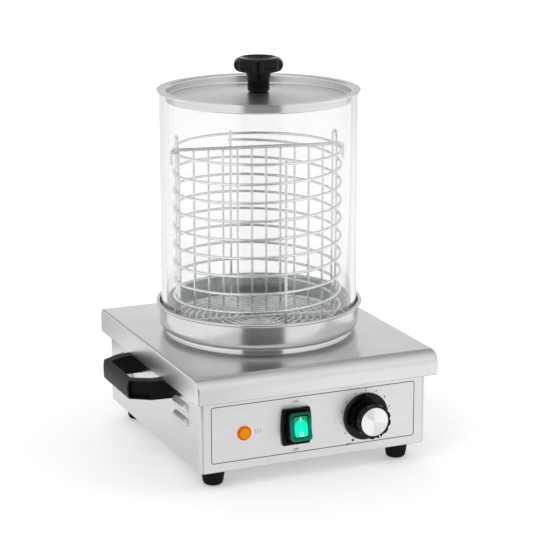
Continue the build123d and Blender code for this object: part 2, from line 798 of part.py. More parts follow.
def make_heater():
    """Ring heater with bent-down ends, pressed to the tray by a plate on four studs."""
    tube_z = tray_bottom - fit_gap - heater_tube_radius
    sweep_angle = 360 - heater_gap_angle
    step = sweep_angle / heater_corners
    points = []
    for index in range(heater_corners + 1):
        angle = radians(90 + heater_gap_angle / 2 + step * index)
        points.append((heater_radius * cos(angle), heater_radius * sin(angle), tube_z))
    first, last = points[0], points[-1]
    points = [(first[0], first[1], tube_z - heater_leg)] + points
    points.append((last[0], last[1], tube_z - heater_leg))
    save("heater_ring", axis * coiled_wire(points, heater_tube_radius))
    clamp_top = tube_z - heater_tube_radius - fit_gap
    clamp_bottom = clamp_top - clamp_thickness
    clamp = pin(clamp_radius, clamp_bottom, clamp_top)
    leg_span = 2 * heater_radius * sin(radians(heater_gap_angle / 2)) + 2 * heater_leg
    clamp -= Pos(0, heater_radius, clamp_top) * Box(
        leg_span, 7 * heater_tube_radius, 4 * clamp_thickness,
    )
    nut = Pos(0, 0, clamp_bottom - nut_height) * hex_nut()
    stud = pin(screw_radius, clamp_bottom - nut_height - 2, tray_bottom)
    places = [Pos(*point) for point in ring_points(clamp_stud_circle, clamp_studs, 45)]
    for place in places:
        clamp -= place * pin(screw_radius + fit_gap, clamp_bottom - 1, clamp_top + 1)
    save("heater_clamp", axis * clamp)
    save("heater_studs", *[axis * place * stud for place in places])
    save("heater_nuts", *[axis * place * nut for place in places])
    cutout_bottom = clamp_bottom - cutout_height
    cutout = pin(cutout_radius, cutout_bottom, clamp_bottom)
    for side in (-1, 1):
        cutout += Pos(side * cutout_radius / 2, 0, cutout_bottom) * Box(
            blade_thickness, blade_width, blade_length,
        )
    save("thermal_cutout", axis * cutout)


def make_glass():
    glass = tube(glass_radius, glass_radius - glass_wall, glass_bottom, glass_top)
    ends = glass.edges().group_by(Axis.Z)
    save("glass_cylinder", axis * chamfer(ends[0] + ends[-1], glass_edge))


def lid_knob_profile():
    """Half section of the knob: a drawn-in stem, a round-edged disc and a dished top."""
    disc_bottom = lid_knob_height - lid_knob_disc
    rim_x = lid_knob_radius - lid_knob_rim
    rim_z = lid_knob_height - lid_knob_rim
    under = (rim_x + 0.62 * lid_knob_rim, rim_z - sqrt(1 - 0.62**2) * lid_knob_rim)
    outline = Wire([
        Line((0, 0), (lid_knob_stem_base - lid_knob_foot_bevel, 0)).edge(),
        Line((lid_knob_stem_base - lid_knob_foot_bevel, 0),
             (lid_knob_stem_base, lid_knob_foot_bevel)).edge(),
        Line((lid_knob_stem_base, lid_knob_foot_bevel),
             (lid_knob_stem_base, 0.4 * disc_bottom)).edge(),
        ThreePointArc((lid_knob_stem_base, 0.4 * disc_bottom),
                      (lid_knob_stem_base + 0.5, 0.75 * disc_bottom),
                      (lid_knob_stem_top, disc_bottom)).edge(),
        Line((lid_knob_stem_top, disc_bottom), under).edge(),
        ThreePointArc(under, (lid_knob_radius, rim_z), (rim_x, lid_knob_height)).edge(),
        TangentArc((0, lid_knob_height - lid_knob_dish), (rim_x, lid_knob_height),
                   tangent=(1, 0)).edge(),
        Line((0, lid_knob_height - lid_knob_dish), (0, 0)).edge(),
    ])
    return Plane.XZ * make_face(outline)


def make_lid():
    """Dished lid that crowns to its middle, with a notched knob held by a screw from below."""
    half = lid_sheet / 2
    well = lid_well_radius + half
    lid = spun_sheet([
        (screw_radius + fit_gap, lid_hub - half),
        (lid_hub_radius, lid_hub - half),
        (well, lid_floor - half),
        (well, lid_top - half),
        (lid_radius, lid_top - half),
    ], lid_bend, lid_sheet)
    knob = revolve(lid_knob_profile(), Axis.Z)
    notch_distance = lid_knob_radius + lid_knob_notch_radius - lid_knob_notch_depth
    disc_bottom = lid_knob_height - lid_knob_disc
    notch = pin(lid_knob_notch_radius, disc_bottom - 1, lid_knob_height + 1)
    for x, y, z in ring_points(notch_distance, lid_knob_notches, lid_knob_notch_turn):
        knob -= Pos(x, y, z) * notch
    knob -= pin(screw_radius + fit_gap, -1, lid_screw_length)
    save("lid_dish", axis * lid)
    save("lid_knob", axis * Pos(0, 0, lid_hub) * knob)
    washer_top = lid_hub - lid_sheet
    washer = tube(lid_washer_radius, screw_radius + fit_gap, washer_top - lid_washer, washer_top)
    save("lid_washer", axis * washer)
    screw = pan_screw(lid_screw_length + lid_sheet + lid_washer - 1.0)
    save("lid_screw", axis * Pos(0, 0, washer_top - lid_washer) * screw)


# ---- Basket and divider -------------------------------------------------------------------------


def coil_points():
    """Corners of the basket's wall, down and clockwise from the top of the one long wire."""
    step = 360 / corners_per_turn
    corner_radius = coil_radius / cos(radians(step / 2))
    points = []
    for index in range(int(round(coil_turns * corners_per_turn)) + 1):
        angle = radians(coil_start_angle - step * index)
        drop = coil_pitch * index / corners_per_turn
        points.append((corner_radius, angle, coil_start_z - drop + coil_lean * sin(angle)))
    return points


def floor_points(start):
    """Corners from the end of the wall down to the floor, then inward in a flat spiral."""
    step = radians(360 / floor_corners_per_turn)
    drop_count = int(round(radians(coil_drop_turn) / step))
    radius, angle, level = start
    points = [start]
    for index in range(1, drop_count + 1):
        share = index / drop_count
        angle -= step
        points.append((
            radius + (floor_outer_radius - radius) * share, angle, level + (floor_z - level) * share,
        ))
    radius = floor_outer_radius
    while radius > floor_inner_radius:
        angle -= step
        radius -= floor_pitch / floor_corners_per_turn
        points.append((radius, angle, floor_z))
    return points


def from_polar(points):
    return [(radius * cos(angle), radius * sin(angle), z) for radius, angle, z in points]


def make_basket():
    """Coiled wall and floor, top ring, a hoop with two hairpins and a bent cross wire."""
    turn = Rot(0, 0, -basket_turn)
    wall = coil_points()
    spiral = from_polar(floor_points(wall[-1]))
    wall = from_polar(wall)
    join = tuple((a + b) / 2 for a, b in zip(spiral[0], spiral[1]))
    coil = coiled_wire(wall + [join], wire_radius)
    floor = coiled_wire([join] + spiral[1:], wire_radius)
    save("basket_coil", basket_place * turn * coil)
    save("basket_floor", basket_place * turn * floor)
    ring = revolve(Plane.XZ * (Pos(coil_radius, ring_z) * Circle(wire_radius)), Axis.Z)
    save("basket_ring", basket_place * ring)
    half = hairpin_width / 2
    reach = sqrt(support_radius**2 - half**2)
    low, high = side_spoke_z, ring_z + hairpin_rise - wire_radius
    hoop = [
        (-reach, -half, low), (-reach, -half, high), (-reach, half, high), (-reach, half, low),
        (reach, half, low), (reach, half, high), (reach, -half, high), (reach, -half, low),
    ]
    hairpin_bend = half - 0.5
    bends = 2 * [support_bend, hairpin_bend, hairpin_bend, support_bend]
    save("basket_hoop", basket_place * bent_rod(hoop, wire_radius, bends, close=True))
    cross = [
        (0, -support_radius, ring_z + cross_rise), (0, -support_radius, cross_spoke_z),
        (0, support_radius, cross_spoke_z), (0, support_radius, ring_z + cross_rise),
    ]
    cross_turn = Rot(0, 0, cross_support_turn - basket_turn)
    save("basket_cross", basket_place * cross_turn * bent_rod(cross, wire_radius, support_bend))


def make_divider():
    """Flat grid: a hooked top bar over the ring, upright wires and a foot rod, coped together."""
    hook = [
        (-hook_x, divider_y, divider_z - divider_hook_drop), (-hook_x, divider_y, divider_z),
        (hook_x, divider_y, divider_z), (hook_x, divider_y, divider_z - divider_hook_drop),
    ]
    bar = bent_rod(hook, rod_radius, hook_bend)
    foot = Pos(0, divider_y, divider_foot_z) * Rot(0, 90, 0) * Cylinder(
        divider_wire / 2, 2 * divider_half + divider_wire,
    )
    wires = []
    for index in range(divider_wires):
        x = divider_half * (2 * index / (divider_wires - 1) - 1)
        wire = Pos(x, divider_y, 0) * pin(divider_wire / 2, divider_foot_z, divider_z)
        wires.append(basket_place * (wire - bar - foot))
    save("divider_bar", basket_place * bar)
    save("divider_foot", basket_place * foot)
    save("divider_wires", *wires)


def main():
    os.makedirs("parts", exist_ok=True)
    make_cover()
    make_housing()
    make_front_panel()
    make_bottom_plate()
    make_feet()
    make_handles()
    make_lamp()
    make_switch()
    make_rocker()
    make_dial()
    make_heat_control()
    make_gland()
    make_terminal_block()
    make_tray()
    make_heater()
    make_glass()
    make_lid()
    make_basket()
    make_divider()


main()
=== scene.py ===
# %% [markdown]
# # A hot dog steamer, finished for rendering
#
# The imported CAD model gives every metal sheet, wire and moulding its true size. This lesson adds
# what CAD leaves out: brushed and spun steel, clear glass, moulded plastic, printed marks, weld
# beads, and a studio to see them in. Lengths are metres, +Z is up and -Y is the front.

from math import atan2, ceil, cos, degrees, pi, radians, sin

import bpy
from mathutils import Matrix, Vector


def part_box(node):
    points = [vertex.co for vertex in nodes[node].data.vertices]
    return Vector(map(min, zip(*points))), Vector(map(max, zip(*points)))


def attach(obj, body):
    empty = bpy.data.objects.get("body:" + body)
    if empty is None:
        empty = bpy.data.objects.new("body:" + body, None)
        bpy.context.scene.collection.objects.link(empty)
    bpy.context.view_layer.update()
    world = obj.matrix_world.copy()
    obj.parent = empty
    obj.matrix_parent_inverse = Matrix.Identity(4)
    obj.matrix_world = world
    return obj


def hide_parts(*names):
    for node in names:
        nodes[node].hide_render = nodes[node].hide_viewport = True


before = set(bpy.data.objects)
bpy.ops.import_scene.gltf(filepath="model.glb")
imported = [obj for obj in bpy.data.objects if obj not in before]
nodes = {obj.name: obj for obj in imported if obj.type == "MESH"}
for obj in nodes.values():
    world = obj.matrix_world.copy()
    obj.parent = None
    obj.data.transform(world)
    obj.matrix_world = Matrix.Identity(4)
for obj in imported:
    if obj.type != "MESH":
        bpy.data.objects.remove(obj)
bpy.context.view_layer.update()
MM = 0.001

# %% [markdown]
# Every later step needs the same few places, so they are read once from the boxes of the CAD
# nodes: the axis that the glass, tray and lid share, the face of the front panel, and the
# centres of the three controls.

# %% Places read from the frame
def middle(node):
    """Centre of a CAD node's box."""
    low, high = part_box(node)
    return (low + high) / 2


axis = middle("glass_cylinder")
panel_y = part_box("front_panel")[0].y
lamp = middle("lamp_lens")
dial = middle("dial_cap")
switch = middle("switch_frame")
basket_axis = middle("basket_ring")
print("glass axis", axis, "panel face", round(panel_y, 4))


# %% [markdown]
# The camera stands to the left of the product, a little above it, with a long lens. Its height
# and turn are the ones a product picture of a counter-top machine usually has: both the lid and
# the controls are seen.

# %% Camera
CAMERA_PLACE = (-0.76675, -1.7849, 0.6815)
CAMERA_TURN = 0.4086
CAMERA_DIP = 0.2547

bpy.ops.object.select_all(action="DESELECT")
bpy.ops.object.camera_add(
    location=CAMERA_PLACE, rotation=(pi / 2 - CAMERA_DIP, 0, -CAMERA_TURN)
)
camera = bpy.context.object
camera.name = "camera"
camera.data.lens = 131.38
camera.data.sensor_width = 36
camera.data.shift_y = 0.00657
bpy.context.scene.camera = camera
bpy.context.scene.view_settings.view_transform = "Standard"
print("camera looks", round(degrees(CAMERA_DIP), 1), "degrees down")


# %% [markdown]
# Materials are built from nodes. These small helpers keep the cells that follow short: one makes
# a material and hands back its node tree and its main shader, one adds a node and sets its
# values, and one adds a colour ramp.

# %% Material helpers
def material(name, color, roughness, metallic=0.0):
    """A new material with its Principled shader's plain values set."""
    made = bpy.data.materials.new(name)
    made.use_nodes = True
    shader = made.node_tree.nodes["Principled BSDF"]
    shader.inputs["Base Color"].default_value = (*color, 1)
    shader.inputs["Roughness"].default_value = roughness
    shader.inputs["Metallic"].default_value = metallic
    return made, made.node_tree, shader


def add(tree, kind, **values):
    """Adds a node; values are its properties, or its inputs when it has an input of that name."""
    node = tree.nodes.new(kind)
    for name, value in values.items():
        socket = node.inputs.get(name.replace("_", " "))
        if socket is not None:
            socket.default_value = value
        else:
            setattr(node, name, value)
    return node


def math(tree, operation, first, second=None, third=None):
    """A Math node; each value is a number or a socket to link."""
    node = tree.nodes.new("ShaderNodeMath")
    node.operation = operation
    for index, value in enumerate((first, second, third)):
        if value is None:
            continue
        if isinstance(value, (int, float)):
            node.inputs[index].default_value = value
        else:
            tree.links.new(value, node.inputs[index])
    return node.outputs[0]


def ramp(tree, factor, *stops):
    """A colour ramp with (place, colour) stops; a colour may be one grey number."""
    node = tree.nodes.new("ShaderNodeValToRGB")
    tree.links.new(factor, node.inputs[0])
    while len(node.color_ramp.elements) < len(stops):
        node.color_ramp.elements.new(0.5)
    for element, (place, color) in zip(node.color_ramp.elements, stops):
        element.position = place
        element.color = (color, color, color, 1) if isinstance(color, float) else (*color, 1)
    return node.outputs[0]


def spread(tree, factor, low, high):
    """Maps 0..1 onto low..high."""
    node = add(tree, "ShaderNodeMapRange")
    tree.links.new(factor, node.inputs["Value"])
    node.inputs["To Min"].default_value = low
    node.inputs["To Max"].default_value = high
    return node.outputs[0]


def cover_node(node, made):
    """Gives a CAD node one material."""
    mesh = nodes[node].data
    mesh.materials.clear()
    mesh.materials.append(made)


print("helpers ready")


# %% [markdown]
# Brushed sheet is what belts of abrasive leave: thousands of hairlines that run one way. Each
# one is a little lighter or darker and a little rougher than its neighbour. A noise texture that
# is stretched a few hundred times longer than it is wide gives the same look. On a folded box
# the lines run level on every wall, so the group picks its stretch from the wall's own normal.
# It gives out a shade and a bumped normal, and every sheet material uses it.

# %% Hairline group
def group(name, outputs, inputs=()):
    """A shader node group with float inputs and the given outputs."""
    made = bpy.data.node_groups.new(name, "ShaderNodeTree")
    for label, kind in outputs:
        made.interface.new_socket(name=label, in_out="OUTPUT", socket_type=kind)
    for label, value in inputs:
        socket = made.interface.new_socket(name=label, in_out="INPUT", socket_type="NodeSocketFloat")
        socket.default_value = value
    made.nodes.new("NodeGroupOutput")
    made.nodes.new("NodeGroupInput")
    return made


def place_group(tree, made, **values):
    """Puts a group into a material, with values for its inputs."""
    node = tree.nodes.new("ShaderNodeGroup")
    node.node_tree = made
    for name, value in values.items():
        node.inputs[name].default_value = value
    return node


def finish_lines(tree, vector):
    """Noise over a stretched vector, as the Shade and the bumped Normal of a group."""
    given = tree.nodes["Group Input"].outputs
    result = tree.nodes["Group Output"].inputs
    fine = add(tree, "ShaderNodeTexNoise", Scale=1.0, Detail=3.0, Roughness=0.65)
    tree.links.new(vector, fine.inputs["Vector"])
    tree.links.new(fine.outputs[0], result["Shade"])
    bump = add(tree, "ShaderNodeBump", Distance=0.00002)
    tree.links.new(given["Depth"], bump.inputs["Strength"])
    tree.links.new(fine.outputs[0], bump.inputs["Height"])
    tree.links.new(bump.outputs[0], result["Normal"])


def scaled(tree, vector, scale):
    """A vector times a constant one, axis by axis."""
    node = add(tree, "ShaderNodeVectorMath", operation="MULTIPLY")
    tree.links.new(vector, node.inputs[0])
    node.inputs[1].default_value = scale
    return node.outputs[0]


ALONG = 9.0
ACROSS = 1500.0
LINE_OUTPUTS = (("Shade", "NodeSocketFloat"), ("Normal", "NodeSocketVector"))

hairlines = group("Hairlines", LINE_OUTPUTS, (("Depth", 0.25),))
place = add(hairlines, "ShaderNodeTexCoord").outputs["Object"]
normal = add(hairlines, "ShaderNodeSeparateXYZ")
hairlines.links.new(add(hairlines, "ShaderNodeNewGeometry").outputs["True Normal"], normal.inputs[0])
side_wall = math(hairlines, "GREATER_THAN", math(hairlines, "ABSOLUTE", normal.outputs[0]), 0.7)
choice = add(hairlines, "ShaderNodeMix", data_type="VECTOR")
hairlines.links.new(side_wall, choice.inputs["Factor"])
hairlines.links.new(scaled(hairlines, place, (ALONG, ACROSS, ACROSS)), choice.inputs[4])
hairlines.links.new(scaled(hairlines, place, (ACROSS, ALONG, ACROSS)), choice.inputs[5])
finish_lines(hairlines, choice.outputs[1])
print("hairline group has", len(hairlines.nodes), "nodes")

# %% [markdown]
# The tray and the lid were spun on a lathe, so their marks are rings round the glass's axis. The
# second group turns a place into its distance from that axis, its height and a slow turn angle,
# and feeds the same noise. Rings are fine across the radius and long round the circle.

# %% Turned-ring group
turned = group("Turned rings", LINE_OUTPUTS, (("Depth", 0.25),))
place = add(turned, "ShaderNodeTexCoord").outputs["Object"]
centred = add(turned, "ShaderNodeVectorMath", operation="SUBTRACT")
turned.links.new(place, centred.inputs[0])
centred.inputs[1].default_value = (axis.x, axis.y, 0)
parts = add(turned, "ShaderNodeSeparateXYZ")
turned.links.new(centred.outputs[0], parts.inputs[0])
square = math(turned, "ADD", math(turned, "POWER", parts.outputs[0], 2.0),
              math(turned, "POWER", parts.outputs[1], 2.0))
rings = add(turned, "ShaderNodeCombineXYZ")
turned.links.new(math(turned, "MULTIPLY", math(turned, "SQRT", square), ACROSS), rings.inputs[0])
turned.links.new(math(turned, "MULTIPLY", parts.outputs[2], ACROSS), rings.inputs[1])
round_angle = math(turned, "ARCTAN2", parts.outputs[1], parts.outputs[0])
turned.links.new(math(turned, "MULTIPLY", math(turned, "COSINE", round_angle), 1.5), rings.inputs[2])
finish_lines(turned, rings.outputs[0])
print("turned group has", len(turned.nodes), "nodes")

# %% [markdown]
# Handled metal and plastic are never evenly clean. A third group makes slow cloudy patches, as
# wiping leaves them, and a fourth marks sharp edges: it compares the real normal with one that is
# rounded over a small radius. Steel uses its mask for a line of painted shade along edges, and the
# mouldings use it for lighter edges that are partly wear and partly a painted highlight.

# %% Wiped-patch and edge groups
patches = group("Wiped patches", (("Mask", "NodeSocketFloat"),), (("Size", 30.0),))
place = add(patches, "ShaderNodeTexCoord").outputs["Object"]
cloud = add(patches, "ShaderNodeTexNoise", Detail=4.0, Roughness=0.6)
patches.links.new(place, cloud.inputs["Vector"])
patches.links.new(patches.nodes["Group Input"].outputs["Size"], cloud.inputs["Scale"])
patches.links.new(cloud.outputs[0], patches.nodes["Group Output"].inputs["Mask"])

edges = group("Sharp edge mask", (("Mask", "NodeSocketFloat"),), (("Width", 0.0008),))
rounded = add(edges, "ShaderNodeBevel", samples=4)
edges.links.new(edges.nodes["Group Input"].outputs["Width"], rounded.inputs["Radius"])
likeness = add(edges, "ShaderNodeVectorMath", operation="DOT_PRODUCT")
edges.links.new(rounded.outputs[0], likeness.inputs[0])
edges.links.new(add(edges, "ShaderNodeNewGeometry").outputs["Normal"], likeness.inputs[1])
rubbed = add(edges, "ShaderNodeMapRange")
edges.links.new(likeness.outputs["Value"], rubbed.inputs["Value"])
rubbed.inputs["From Min"].default_value = 0.98
rubbed.inputs["From Max"].default_value = 0.85
edges.links.new(rubbed.outputs[0], edges.nodes["Group Output"].inputs["Mask"])
print("patch and edge groups ready")


# %% [markdown]
# All the steel sheet is one recipe: a metal whose colour and roughness follow the lines, with a
# little less shine where the patches are. Along sharp edges its colour is mixed towards a dark
# grey line of painted shade. Only the group and the numbers differ. The cover's level top is
# polished more than its front, and level faces of the walls, tray and lid less.

# %% Steel sheet
# A dark grey painted along sharp edges as a line of painted shade, and the width of that line.
EDGE_SHADE_GREY = (0.14, 0.14, 0.14)
EDGE_SHADE_WIDTH = 1.1 * MM
LINE_SHARE, PATCH_SHARE = 0.55, 0.45


def steel(name, lines, dark, light, rough, depth, level_rough=0.0, edge_shade=0.0):
    """Metal with lines from a group.

    rough is the lowest and highest roughness, and level_rough is what level faces add to it.
    edge_shade is how much painted shade, a dark grey line, shows along sharp edges.
    """
    made, tree, shader = material(name, (light, light, light), rough[0], 1.0)
    marks = place_group(tree, lines, Depth=depth)
    wiped = place_group(tree, patches, Size=18.0)
    from_lines = math(tree, "MULTIPLY", marks.outputs[0], LINE_SHARE)
    blend = math(tree, "MULTIPLY_ADD", wiped.outputs[0], PATCH_SHARE, from_lines)
    stops = (0.3, (dark, dark, dark * 1.01)), (0.7, (light, light, light * 1.005))
    # Painted shade: along sharp edges the colour is mixed towards a dark grey line.
    edge_shade_mask = place_group(tree, edges, Width=EDGE_SHADE_WIDTH)
    tint = add(tree, "ShaderNodeMix", data_type="RGBA")
    tree.links.new(math(tree, "MULTIPLY", edge_shade_mask.outputs[0], edge_shade), tint.inputs["Factor"])
    tree.links.new(ramp(tree, blend, *stops), tint.inputs[6])
    tint.inputs[7].default_value = (*EDGE_SHADE_GREY, 1)
    tree.links.new(tint.outputs[2], shader.inputs["Base Color"])
    facing = add(tree, "ShaderNodeSeparateXYZ")
    tree.links.new(add(tree, "ShaderNodeNewGeometry").outputs["True Normal"], facing.inputs[0])
    level = math(tree, "ABSOLUTE", facing.outputs[2])
    dulled = math(tree, "MULTIPLY_ADD", level, level_rough, spread(tree, blend, rough[1], rough[0]))
    tree.links.new(dulled, shader.inputs["Roughness"])
    tree.links.new(marks.outputs["Normal"], shader.inputs["Normal"])
    return made


wall_steel = steel("Brushed wall steel", hairlines, dark=0.60, light=0.68, rough=(0.16, 0.28),
                   depth=0.16, level_rough=0.5, edge_shade=0.4)
cover_steel = steel("Brushed cover steel", hairlines, dark=0.70, light=0.78, rough=(0.28, 0.40),
                    depth=0.18, level_rough=-0.14, edge_shade=0.9)
panel_steel = steel("Brushed panel steel", hairlines, dark=0.70, light=0.78, rough=(0.34, 0.48),
                    depth=0.16, edge_shade=0.8)
tray_steel = steel("Spun tray steel", turned, dark=0.61, light=0.73, rough=(0.13, 0.22),
                   depth=0.12, level_rough=0.12)
lid_steel = steel("Spun lid steel", turned, dark=0.69, light=0.81, rough=(0.13, 0.22),
                  depth=0.12, level_rough=0.17)
# The seat ring's lighter colour is partly a painted highlight for the bright line at the tray's foot,
# over its real polish.
highlight_rim_steel = steel("Bright turned rim", turned, dark=0.84, light=0.92, rough=(0.06, 0.12),
                  depth=0.05)
cover_node("housing", wall_steel)
cover_node("top_cover", cover_steel)
cover_node("front_panel", panel_steel)
cover_node("tray_seat_ring", highlight_rim_steel)
cover_node("water_tray", tray_steel)
cover_node("lid_dish", lid_steel)
print("steel on", len(wall_steel.node_tree.nodes), "nodes each")


# %% [markdown]
# The basket's wire is drawn and then polished in acid, which leaves a bright skin that varies a
# little along the wire. The small screws are plated with zinc. The galvanised plate under the
# base is duller and cloudy, and the heater tube is steel that heat has turned brown. All of them
# are a metal between two shades, so one recipe with a patch size of its own makes each.

# %% Wire, screws, zinc and heater
def plain_metal(name, dark, light, rough, patch_size):
    """Metal that goes from dark to light in patches; patch_size is in noise cycles per metre."""
    made, tree, shader = material(name, light, rough[0], 1.0)
    wiped = place_group(tree, patches, Size=patch_size)
    tree.links.new(ramp(tree, wiped.outputs[0], (0.35, dark), (0.65, light)), shader.inputs["Base Color"])
    tree.links.new(spread(tree, wiped.outputs[0], rough[1], rough[0]), shader.inputs["Roughness"])
    return made


wire_steel = plain_metal("Polished wire", (0.86, 0.86, 0.87), (0.95, 0.95, 0.96), (0.20, 0.34), 260.0)
screw_zinc = plain_metal("Plated screw", (0.50, 0.50, 0.50), (0.68, 0.68, 0.66), (0.25, 0.45), 300.0)
zinc_plate = plain_metal("Galvanised plate", (0.46, 0.47, 0.48), (0.62, 0.63, 0.64), (0.35, 0.6), 90.0)
heater_steel = plain_metal("Heat-browned tube", (0.16, 0.13, 0.11), (0.36, 0.31, 0.27), (0.4, 0.6), 60.0)
brass = plain_metal("Contact brass", (0.62, 0.46, 0.20), (0.80, 0.64, 0.32), (0.25, 0.4), 200.0)
for node in ("basket_coil", "basket_floor", "basket_ring", "basket_hoop", "basket_cross",
             "divider_bar", "divider_wires", "divider_foot"):
    cover_node(node, wire_steel)
for node in ("foot_screws", "foot_nuts", "handle_screws", "heat_control_screws", "lid_washer",
             "lid_screw", "dial_spindle", "heater_studs", "heater_nuts"):
    cover_node(node, screw_zinc)
for node in ("bottom_plate", "heater_clamp"):
    cover_node(node, zinc_plate)
cover_node("heater_ring", heater_steel)
for node in ("switch_blades", "heat_control_blades"):
    cover_node(node, brass)
print("metals done")


# %% [markdown]
# Three black mouldings look different up close. The handles and the switch are matt, with the
# fine spark texture of the mould. The knobs are a glossy phenolic with soft ripples. Rubber feet
# are dull. Each one is lighter along its sharp edges: partly wear where they are rubbed, partly a
# painted highlight. The same recipe makes the pale ceramic of the inner controls and the dial's
# white pointer.

# %% Black plastic and rubber
EDGE_WEAR_AND_SHEEN_WIDTH = 0.6 * MM


def moulded(name, color, edge_wear_and_sheen, rough, grain, depth, shine=0.5):
    """A moulding: grain in noise cycles per metre; sharp edges half show a lighter colour, wear plus
    painted highlight.
    """
    made, tree, shader = material(name, color, rough[0])
    # Sharp edges mix halfway towards a lighter colour: partly wear, partly a painted highlight.
    edge_wear_and_sheen_mask = place_group(tree, edges, Width=EDGE_WEAR_AND_SHEEN_WIDTH)
    tint = add(tree, "ShaderNodeMix", data_type="RGBA")
    tint.inputs[6].default_value = (*color, 1)
    tint.inputs[7].default_value = (*edge_wear_and_sheen, 1)
    tree.links.new(math(tree, "MULTIPLY", edge_wear_and_sheen_mask.outputs[0], 0.5), tint.inputs["Factor"])
    tree.links.new(tint.outputs[2], shader.inputs["Base Color"])
    wiped = place_group(tree, patches, Size=70.0)
    tree.links.new(spread(tree, wiped.outputs[0], rough[0], rough[1]), shader.inputs["Roughness"])
    texture = add(tree, "ShaderNodeTexNoise", Scale=grain, Detail=2.0)
    tree.links.new(add(tree, "ShaderNodeTexCoord").outputs["Object"], texture.inputs["Vector"])
    bump = add(tree, "ShaderNodeBump", Strength=depth, Distance=0.0001)
    tree.links.new(texture.outputs[0], bump.inputs["Height"])
    tree.links.new(bump.outputs[0], shader.inputs["Normal"])
    shader.inputs["Specular IOR Level"].default_value = shine
    return made


def grey(level):
    """A neutral colour."""
    return level, level, level


matt_black = moulded("Matt black plastic", grey(0.004), edge_wear_and_sheen=grey(0.03), rough=(0.34, 0.52),
                     grain=2600.0, depth=0.35, shine=0.13)
gloss_black = moulded("Glossy black phenolic", grey(0.002), edge_wear_and_sheen=grey(0.12), rough=(0.05, 0.12),
                      grain=260.0, depth=0.06, shine=0.20)
rubber = moulded("Foot rubber", grey(0.005), edge_wear_and_sheen=grey(0.02), rough=(0.6, 0.8),
                 grain=1800.0, depth=0.4, shine=0.15)
ceramic = moulded("Ceramic moulding", (0.62, 0.60, 0.54), edge_wear_and_sheen=(0.7, 0.68, 0.62), rough=(0.4, 0.6),
                  grain=900.0, depth=0.2)
white_plastic = moulded("White inlay", grey(0.82), edge_wear_and_sheen=grey(0.9), rough=(0.3, 0.4),
                        grain=2600.0, depth=0.1)
for node in ("left_handle", "right_handle", "switch_frame", "rocker_body", "lamp_body",
             "lamp_lock_ring", "cable_gland", "gland_nut"):
    cover_node(node, matt_black)
for node in ("lid_knob", "dial_knob"):
    cover_node(node, gloss_black)
cover_node("rubber_feet", rubber)
for node in ("heat_control", "terminal_block", "thermal_cutout"):
    cover_node(node, ceramic)
cover_node("dial_pointer", white_plastic)
print("plastics done")

# %% [markdown]
# Glass needs no colour of its own: its look is refraction, sharp reflection and a faint green
# where light runs a long way inside it. Rays that only carry shadow, and rays that metal has
# mirrored, pass straight through, as light does through a real thin wall, so the basket and the
# tray inside are lit like everything else.

# %% Clear glass
glass, tree, shader = material("Clear glass", (0.955, 0.962, 0.959), 0.0)
shader.inputs["Transmission Weight"].default_value = 1.0
shader.inputs["IOR"].default_value = 1.47
smear = place_group(tree, patches, Size=14.0)
tree.links.new(ramp(tree, smear.outputs[0], (0.62, 0.0), (0.85, 0.004)), shader.inputs["Roughness"])
clear = add(tree, "ShaderNodeBsdfTransparent")
clear.inputs[0].default_value = (0.97, 0.98, 0.975, 1)
either = add(tree, "ShaderNodeMixShader")
rays = add(tree, "ShaderNodeLightPath")
mirrored = math(tree, "GREATER_THAN", rays.outputs["Is Glossy Ray"],
                rays.outputs["Is Transmission Ray"])
straight = math(tree, "MAXIMUM", rays.outputs["Is Shadow Ray"], mirrored)
tree.links.new(straight, either.inputs[0])
tree.links.new(shader.outputs[0], either.inputs[1])
tree.links.new(clear.outputs[0], either.inputs[2])
tree.links.new(either.outputs[0], tree.nodes["Material Output"].inputs[0])
cover_node("glass_cylinder", glass)
print("glass done")


# %% [markdown]
# The pilot lamp is an orange lens with moulded prisms behind it and a redder rim where the
# plastic is thick. The rocker is lit from inside: brightest at its middle, darker towards its
# frame. Both glow a little, so their colour comes partly from emission. The glow is shaped by
# the distance from the centre of the lens, measured across the panel.

# %% Lit plastics
def distance_on_panel(tree, centre, across=1.0, up=1.0):
    """Distance from a centre in the plane of the panel; the two factors squeeze it."""
    offset = add(tree, "ShaderNodeVectorMath", operation="SUBTRACT")
    tree.links.new(add(tree, "ShaderNodeTexCoord").outputs["Object"], offset.inputs[0])
    offset.inputs[1].default_value = centre
    squeezed = scaled(tree, offset.outputs[0], (across, 0, up))
    size = add(tree, "ShaderNodeVectorMath", operation="LENGTH")
    tree.links.new(squeezed, size.inputs[0])
    return size.outputs["Value"]


def lit_plastic(name, centre, reach, stops, strength, across=1.0, shine=0.5):
    """A lens whose colour follows ramp stops from its centre out to the reach."""
    made, tree, shader = material(name, stops[0][1], 0.18)
    shader.inputs["Specular IOR Level"].default_value = shine
    away = math(tree, "DIVIDE", distance_on_panel(tree, centre, across), reach)
    color = ramp(tree, away, *stops)
    ribs = add(tree, "ShaderNodeTexVoronoi", Scale=900.0)
    tree.links.new(add(tree, "ShaderNodeTexCoord").outputs["Object"], ribs.inputs["Vector"])
    shade = add(tree, "ShaderNodeMix", data_type="RGBA", blend_type="MULTIPLY")
    shade.inputs["Factor"].default_value = 0.35
    tree.links.new(color, shade.inputs[6])
    tree.links.new(ramp(tree, ribs.outputs["Distance"], (0.1, 1.0), (0.6, 0.7)), shade.inputs[7])
    tree.links.new(shade.outputs[2], shader.inputs["Base Color"])
    tree.links.new(shade.outputs[2], shader.inputs["Emission Color"])
    shader.inputs["Emission Strength"].default_value = strength
    return made


